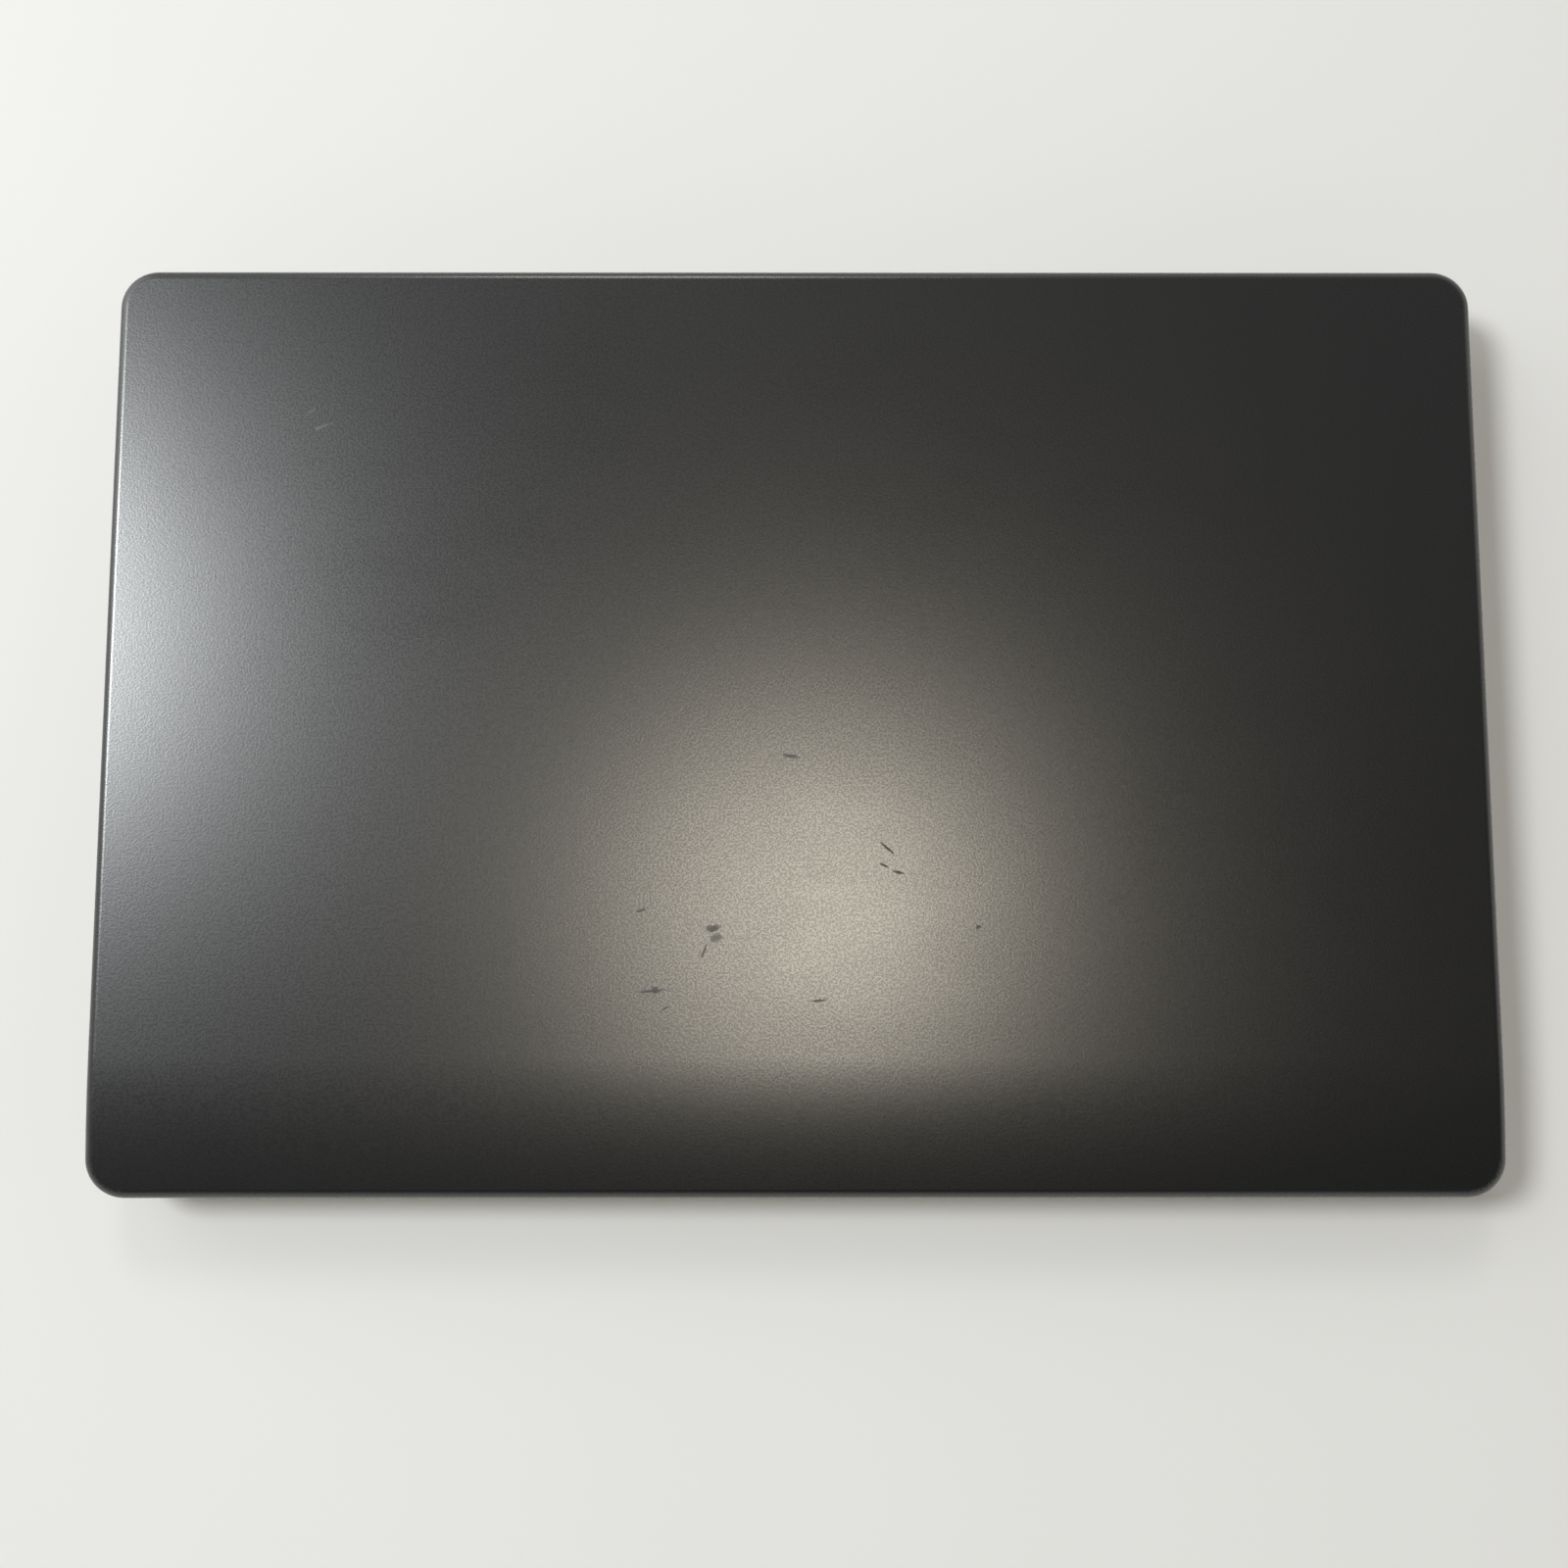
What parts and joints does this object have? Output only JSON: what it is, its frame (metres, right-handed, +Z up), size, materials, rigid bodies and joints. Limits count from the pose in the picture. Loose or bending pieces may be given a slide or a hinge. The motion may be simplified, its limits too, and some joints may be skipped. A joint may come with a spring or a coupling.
{
  "type": "laptop computer",
  "caption": "Closed clamshell laptop computer with a dark lid on friction hinges, a keyboard, a touchpad with buttons and side ports.",
  "frame": {"origin": "under the middle of the closed lid, on the surface that the feet stand on", "axes": "+X along the width to the right, +Y from the front edge to the hinge edge, +Z up"},
  "size_m": [0.323, 0.218, 0.021],
  "materials": {
    "lid_paint": "dark soft-touch paint with a fine sparkle over a light-alloy shell",
    "base_plastic": "fine-grained dark plastic",
    "bezel_plastic": "matte dark plastic",
    "key_plastic": "smooth dark key plastic",
    "rubber": "soft dark rubber",
    "screw_steel": "black-coated steel",
    "hinge_steel": "plated steel",
    "port_steel": "nickel-plated shell",
    "port_plastic": "dark connector plastic",
    "keyboard_steel": "pressed light-alloy plate",
    "membrane_plastic": "clear film",
    "touchpad_plastic": "smooth matte film",
    "screen": "dark anti-glare screen",
    "circuit_board": "solder-masked board",
    "copper": "bare copper",
    "fin_alloy": "folded light-alloy fins",
    "fan_plastic": "dark moulded plastic",
    "battery_wrap": "dark cell wrap",
    "cell_steel": "stainless case",
    "light_pipe": "milky clear plastic",
    "cable_jacket": "dark cable jacket"
  },
  "bodies": {
    "base": {"bottom_cover": "base_plastic", "rubber_feet": "rubber", "bottom_screws": "screw_steel", "chassis_frame": "base_plastic", "palmrest_cover": "base_plastic", "keyboard_lattice": "bezel_plastic", "keyboard_plate": "keyboard_steel", "keyboard_membrane": "membrane_plastic", "touchpad_surface": "touchpad_plastic", "touchpad_bracket": "keyboard_steel", "power_button_board": "circuit_board", "main_board": "circuit_board", "memory_modules": "circuit_board", "ssd_module": "circuit_board", "wireless_card": "circuit_board", "coin_cell": "cell_steel", "cold_plate": "copper", "heat_pipe": "copper", "fin_stack": "fin_alloy", "fan_housing": "fan_plastic", "battery_pack": "battery_wrap", "speakers": "fan_plastic", "usb_ports": "port_steel", "usb_c_port": "port_steel", "hdmi_port": "port_steel", "network_jack": "port_plastic", "headphone_jack": "port_plastic", "power_jack": "port_plastic", "card_slot": "port_plastic", "lock_slot_plate": "hinge_steel", "status_light": "light_pipe", "hinge_base_plates": "hinge_steel", "hinge_base_screws": "screw_steel", "hinge_washers": "hinge_steel", "base_cable": "cable_jacket"},
    "lid": {"lid_back_cover": "lid_paint", "screen_bezel": "bezel_plastic", "lcd_panel": "screen", "panel_tapes": "membrane_plastic", "camera_module": "circuit_board", "antennas": "copper", "lid_bumpers": "rubber", "lid_cable": "cable_jacket", "hinge_lid_plates": "hinge_steel", "hinge_lid_screws": "screw_steel", "hinge_shafts": "hinge_steel", "hinge_caps": "base_plastic"},
    "camera_shutter": {"camera_shutter": "bezel_plastic"},
    "fan_rotor": {"fan_rotor": "fan_plastic"},
    "left_click_button": {"left_click_button": "touchpad_plastic"},
    "right_click_button": {"right_click_button": "touchpad_plastic"},
    "power_button": {"power_button": "key_plastic"},
    "function_row_keys": {"function_row_keys": "key_plastic"},
    "number_row_keys": {"number_row_keys": "key_plastic"},
    "upper_letter_keys": {"upper_letter_keys": "key_plastic"},
    "home_letter_keys": {"home_letter_keys": "key_plastic"},
    "lower_letter_keys": {"lower_letter_keys": "key_plastic"},
    "modifier_keys": {"modifier_keys": "key_plastic"},
    "space_bar": {"space_bar": "key_plastic"},
    "arrow_keys": {"arrow_keys": "key_plastic"}
  },
  "joints": [
    {"name": "lid_hinge", "type": "hinge", "parent": "base", "child": "lid", "pos_m": [0, 0.1045, 0.0105], "axis": [-1, 0, 0], "range_deg": [0, 135]},
    {"name": "shutter_slide", "type": "slide", "parent": "lid", "child": "camera_shutter", "axis": [-1, 0, 0], "range_m": [0, 0.006]},
    {"name": "fan_spin", "type": "hinge", "parent": "base", "child": "fan_rotor", "pos_m": [-0.1224, 0.0295, 0.006], "axis": [0, 0, 1], "continuous": true},
    {"name": "left_click", "type": "slide", "parent": "base", "child": "left_click_button", "axis": [0, 0, -1], "range_m": [0, 0.0006], "stiffness_N_per_m": 500, "springref_m": -0.001},
    {"name": "right_click", "type": "slide", "parent": "base", "child": "right_click_button", "axis": [0, 0, -1], "range_m": [0, 0.0006], "stiffness_N_per_m": 500, "springref_m": -0.001},
    {"name": "power_press", "type": "slide", "parent": "base", "child": "power_button", "axis": [0, 0, -1], "range_m": [0, 0.0005], "stiffness_N_per_m": 600, "springref_m": -0.001},
    {"name": "function_row_press", "type": "slide", "parent": "base", "child": "function_row_keys", "axis": [0, 0, -1], "range_m": [0, 0.0015], "stiffness_N_per_m": 400, "springref_m": -0.001},
    {"name": "number_row_press", "type": "slide", "parent": "base", "child": "number_row_keys", "axis": [0, 0, -1], "range_m": [0, 0.0015], "stiffness_N_per_m": 400, "springref_m": -0.001},
    {"name": "upper_letter_press", "type": "slide", "parent": "base", "child": "upper_letter_keys", "axis": [0, 0, -1], "range_m": [0, 0.0015], "stiffness_N_per_m": 400, "springref_m": -0.001},
    {"name": "home_letter_press", "type": "slide", "parent": "base", "child": "home_letter_keys", "axis": [0, 0, -1], "range_m": [0, 0.0015], "stiffness_N_per_m": 400, "springref_m": -0.001},
    {"name": "lower_letter_press", "type": "slide", "parent": "base", "child": "lower_letter_keys", "axis": [0, 0, -1], "range_m": [0, 0.0015], "stiffness_N_per_m": 400, "springref_m": -0.001},
    {"name": "modifier_press", "type": "slide", "parent": "base", "child": "modifier_keys", "axis": [0, 0, -1], "range_m": [0, 0.0015], "stiffness_N_per_m": 400, "springref_m": -0.001},
    {"name": "space_bar_press", "type": "slide", "parent": "base", "child": "space_bar", "axis": [0, 0, -1], "range_m": [0, 0.0015], "stiffness_N_per_m": 400, "springref_m": -0.001},
    {"name": "arrow_press", "type": "slide", "parent": "base", "child": "arrow_keys", "axis": [0, 0, -1], "range_m": [0, 0.0015], "stiffness_N_per_m": 400, "springref_m": -0.001}
  ]
}
